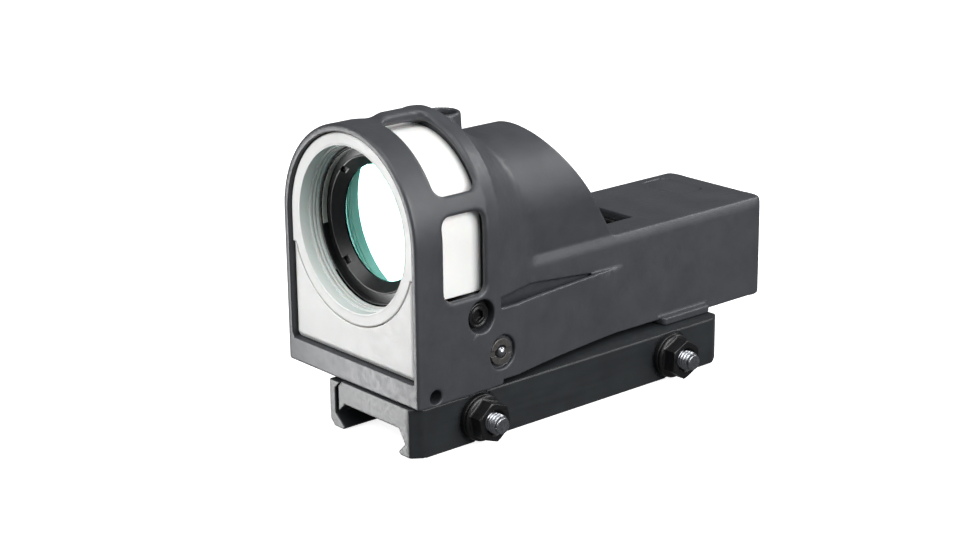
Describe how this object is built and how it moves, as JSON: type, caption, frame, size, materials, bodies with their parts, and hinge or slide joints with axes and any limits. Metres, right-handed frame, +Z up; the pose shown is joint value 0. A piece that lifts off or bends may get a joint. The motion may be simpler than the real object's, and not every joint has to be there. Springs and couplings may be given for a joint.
{
  "type": "reflex sight",
  "caption": "Rail-mounted reflex sight: hooped light collector and coated lens in front, tunnel hood, low reticle box behind, side clamp with cross bolts and flanged nuts.",
  "frame": {"origin": "middle of the rail seat, the roof of the rail groove between the two cross bolts, centred on the rail", "axes": "+Y from the lens towards the eye, along the rail; +X towards the clamp nuts; +Z up"},
  "size_m": [0.0464, 0.0995, 0.0602],
  "materials": {
    "cast_finish": "satin, fine cast texture",
    "machined_black": "satin black anodised",
    "cell_black": "matt black anodised",
    "white_diffuser": "smooth white, slightly translucent",
    "grey_ring": "satin",
    "light_fibre": "clear fluorescent",
    "coated_lens": "polished, teal reflective coating",
    "clear_glass": "polished",
    "vial_glass": "polished",
    "seal_rubber": "matt",
    "black_steel": "black oxide",
    "steel": "machined",
    "valve_metal": "dull nickel"
  },
  "bodies": {
    "root": {"housing": "cast_finish", "bottom_cover": "machined_black", "cover_gasket": "seal_rubber", "cover_screws": "black_steel", "front_plate": "white_diffuser", "collector_ring": "white_diffuser", "collector_body": "white_diffuser", "fibre_coil": "light_fibre", "fibre_lead": "light_fibre", "elevation_pins": "steel", "reticle_window": "clear_glass", "window_gasket": "seal_rubber", "reticle_block": "machined_black", "reticle_plate": "steel", "tritium_vial": "vial_glass", "reticle_screws": "steel", "elevation_seal": "seal_rubber", "windage_seal": "seal_rubber", "return_springs": "steel", "purge_valve": "valve_metal", "valve_pin": "steel", "valve_seal": "seal_rubber", "rail_base": "machined_black", "base_screws": "black_steel", "locating_pins": "steel", "washers": "black_steel"},
    "lens_gimbal": {"tilt_ring": "machined_black"},
    "lens_cell": {"lens_cell": "cell_black", "split_ring": "grey_ring", "retainer_ring": "cell_black", "lens_front": "coated_lens", "lens_rear": "clear_glass", "lens_seal": "seal_rubber", "windage_pins": "steel"},
    "elevation_screw": {"elevation_screw": "black_steel"},
    "windage_screw": {"windage_screw": "black_steel"},
    "jaw": {"clamp_jaw": "machined_black", "cross_bolts": "steel", "jaw_springs": "steel"},
    "front_nut": {"front_nut": "black_steel"},
    "rear_nut": {"rear_nut": "black_steel"}
  },
  "joints": [
    {"name": "jaw_slide", "type": "slide", "parent": "root", "child": "jaw", "axis": [-1, 0, 0], "range_m": [0, 0.0035]},
    {"name": "front_nut_turn", "type": "hinge", "parent": "root", "child": "front_nut", "pos_m": [0.0164, -0.0253, -0.0002], "axis": [1, 0, 0], "range_deg": [0, 1801]},
    {"name": "rear_nut_turn", "type": "hinge", "parent": "root", "child": "rear_nut", "pos_m": [0.0164, 0.0253, -0.0002], "axis": [1, 0, 0], "range_deg": [0, 1801]},
    {"name": "lens_elevation_tilt", "type": "hinge", "parent": "root", "child": "lens_gimbal", "pos_m": [-0.0056, -0.03, 0.0345], "axis": [1, 0, 0], "range_deg": [-0.78, 0.78]},
    {"name": "elevation_turn", "type": "hinge", "parent": "root", "child": "elevation_screw", "pos_m": [-0.0056, -0.0171, 0.0515], "axis": [0, 0, 1], "range_deg": [-180, 180]},
    {"name": "lens_windage_tilt", "type": "hinge", "parent": "lens_gimbal", "child": "lens_cell", "pos_m": [-0.0056, -0.03, 0.0345], "axis": [0, 0, 1], "range_deg": [-0.77, 0.77]},
    {"name": "windage_turn", "type": "hinge", "parent": "root", "child": "windage_screw", "pos_m": [0.0124, -0.0246, 0.0193], "axis": [1, 0, 0], "range_deg": [-75, 75]}
  ],
  "couplings": [
    {"joint": "front_nut_turn", "follows": "jaw_slide", "rad_per_m": 8976},
    {"joint": "rear_nut_turn", "follows": "jaw_slide", "rad_per_m": 8976},
    {"joint": "elevation_turn", "follows": "lens_elevation_tilt", "ratio": 231.58},
    {"joint": "windage_turn", "follows": "lens_windage_tilt", "ratio": -96.941}
  ]
}
